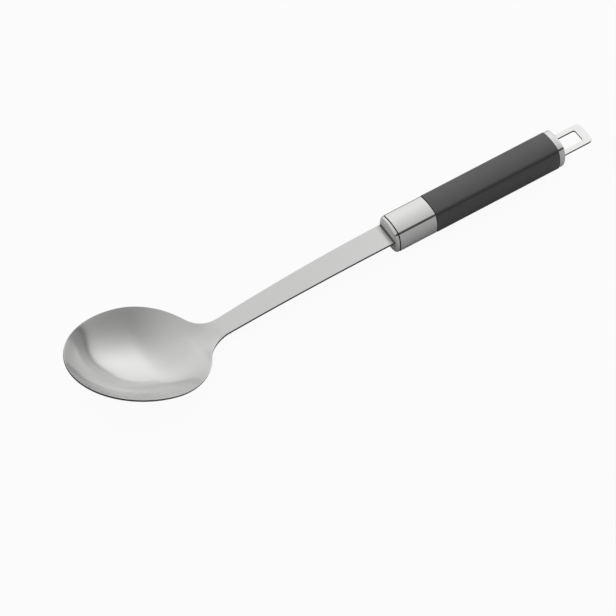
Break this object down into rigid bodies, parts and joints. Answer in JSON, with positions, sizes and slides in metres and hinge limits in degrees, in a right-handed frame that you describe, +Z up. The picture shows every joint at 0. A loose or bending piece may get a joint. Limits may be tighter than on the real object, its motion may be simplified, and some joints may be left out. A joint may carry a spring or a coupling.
{
  "type": "serving spoon",
  "caption": "Serving spoon with an oval steel bowl, a flat arched shank, a square bulging black grip between polished steel caps, and a flat hanging loop.",
  "frame": {"origin": "on the surface that the spoon lies on, halfway between the bowl's tip and the loop's end, in the plane of symmetry", "axes": "+X along the handle towards the hanging loop, so the bowl is at -X; +Z up, out of the open side of the bowl; the part is even about the plane Y = 0"},
  "size_m": [0.3406, 0.0712, 0.0367],
  "materials": {
    "blade_steel": "satin brushed stainless steel sheet",
    "polished_steel": "mirror polished stainless steel",
    "core_plastic": "moulded nylon",
    "grip_plastic": "fine matt moulded plastic",
    "pin_steel": "drawn steel wire"
  },
  "bodies": {
    "root": {"spoon_blade": "blade_steel", "front_cap": "polished_steel", "ferrule": "polished_steel", "core_upper": "core_plastic", "core_lower": "core_plastic", "tang_rivets": "pin_steel", "grip": "grip_plastic", "end_cap": "polished_steel", "hanging_loop": "polished_steel", "loop_pins": "pin_steel"}
  },
  "joints": []
}
